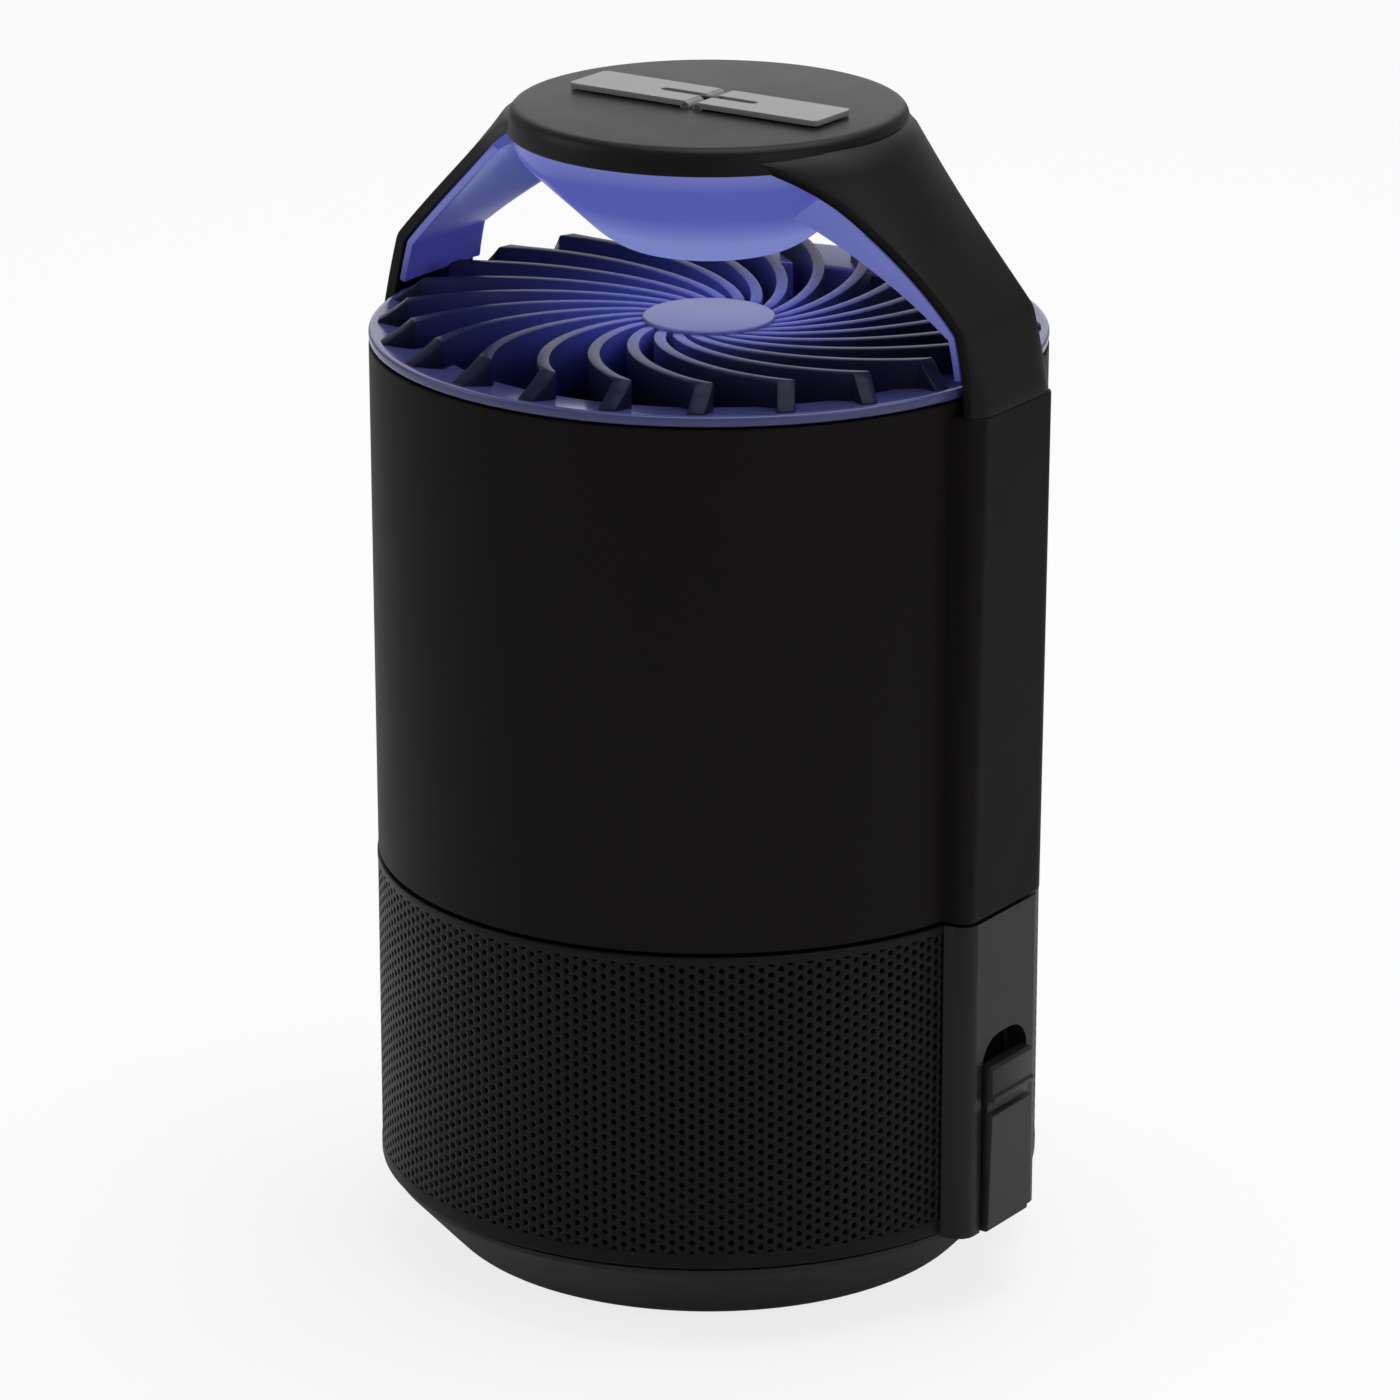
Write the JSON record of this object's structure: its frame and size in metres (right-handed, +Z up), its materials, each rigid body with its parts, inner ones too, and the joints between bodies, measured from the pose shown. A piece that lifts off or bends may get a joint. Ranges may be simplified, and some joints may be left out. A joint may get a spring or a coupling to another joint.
{
  "type": "fan insect trap",
  "caption": "Countertop fan insect trap: a lit dome under an arched cap draws insects through swirl vanes and a fan into a mesh basket with a lift-off catch tray.",
  "frame": {"origin": "on the floor plane at the middle of the base", "axes": "+Z up, -Y to the plain front, +X and -X through the two arms, side panels and latches"},
  "size_m": [0.1334, 0.122, 0.215],
  "materials": {
    "housing_black": "fine matte",
    "panel_black": "satin",
    "grille_black": "glossy",
    "inlet_black": "glossy",
    "inner_grey": "matte",
    "violet_diffuser": "milky, lit from inside",
    "hanger_grey": "satin",
    "foot_rubber": "soft",
    "circuit_board": "solder mask",
    "lamp_lens": "clear lens",
    "steel": "plain"
  },
  "bodies": {
    "tray": {"catch_tray": "housing_black", "foot_ring": "foot_rubber"},
    "upper": {"arm_liner_left": "violet_diffuser", "arm_liner_right": "violet_diffuser", "arm_screw_1": "steel", "arm_screw_2": "steel", "arm_screw_3": "steel", "arm_screw_4": "steel", "basket_screw_1": "steel", "basket_screw_2": "steel", "basket_screw_3": "steel", "basket_screw_4": "steel", "basket_wall": "housing_black", "board_screw_1": "steel", "board_screw_2": "steel", "cap": "housing_black", "control_board": "circuit_board", "escape_funnel": "inner_grey", "fan_duct": "inner_grey", "fan_motor": "steel", "hanger_pin_left": "steel", "hanger_pin_right": "steel", "housing": "housing_black", "lamp_board": "circuit_board", "lamp_screw_1": "steel", "lamp_screw_2": "steel", "latch_pin_left": "steel", "latch_pin_right": "steel", "led_1": "lamp_lens", "led_2": "lamp_lens", "led_3": "lamp_lens", "led_4": "lamp_lens", "led_5": "lamp_lens", "led_6": "lamp_lens", "light_dome": "violet_diffuser", "motor_mount": "inner_grey", "power_inlet": "inlet_black", "side_panel_left": "panel_black", "side_panel_right": "panel_black", "tact_switch": "inner_grey", "vane_grille": "grille_black"},
    "fan": {"fan_rotor": "inner_grey", "fan_shaft": "steel"},
    "latch_left": {"latch_left": "panel_black"},
    "latch_right": {"latch_right": "panel_black"},
    "button": {"power_button": "panel_black"},
    "hanger_left": {"hanger_leaf_left": "hanger_grey"},
    "hanger_right": {"hanger_leaf_right": "hanger_grey"}
  },
  "joints": [
    {"name": "tray_release", "type": "slide", "parent": "tray", "child": "upper", "axis": [0, 0, 1], "range_m": [0, 0.06]},
    {"name": "fan_spin", "type": "hinge", "parent": "upper", "child": "fan", "pos_m": [0, 0, 0.1445], "axis": [0, 0, 1], "continuous": true},
    {"name": "latch_left_press", "type": "hinge", "parent": "upper", "child": "latch_left", "pos_m": [-0.0629, 0, 0.0301], "axis": [0, 1, 0], "range_deg": [0, 9], "stiffness_Nm_per_rad": 0.3, "springref_deg": -2.86},
    {"name": "latch_right_press", "type": "hinge", "parent": "upper", "child": "latch_right", "pos_m": [0.0629, 0, 0.0301], "axis": [0, -1, 0], "range_deg": [0, 9], "stiffness_Nm_per_rad": 0.3, "springref_deg": -2.86},
    {"name": "button_press", "type": "slide", "parent": "upper", "child": "button", "axis": [0, -1, 0], "range_m": [0, 0.0012], "stiffness_N_per_m": 400, "springref_m": -0.0005},
    {"name": "hanger_left_fold", "type": "hinge", "parent": "upper", "child": "hanger_left", "pos_m": [-0.0013, 0, 0.21395], "axis": [0, 1, 0], "range_deg": [0, 90]},
    {"name": "hanger_right_fold", "type": "hinge", "parent": "upper", "child": "hanger_right", "pos_m": [0.0013, 0, 0.21395], "axis": [0, -1, 0], "range_deg": [0, 90]}
  ]
}
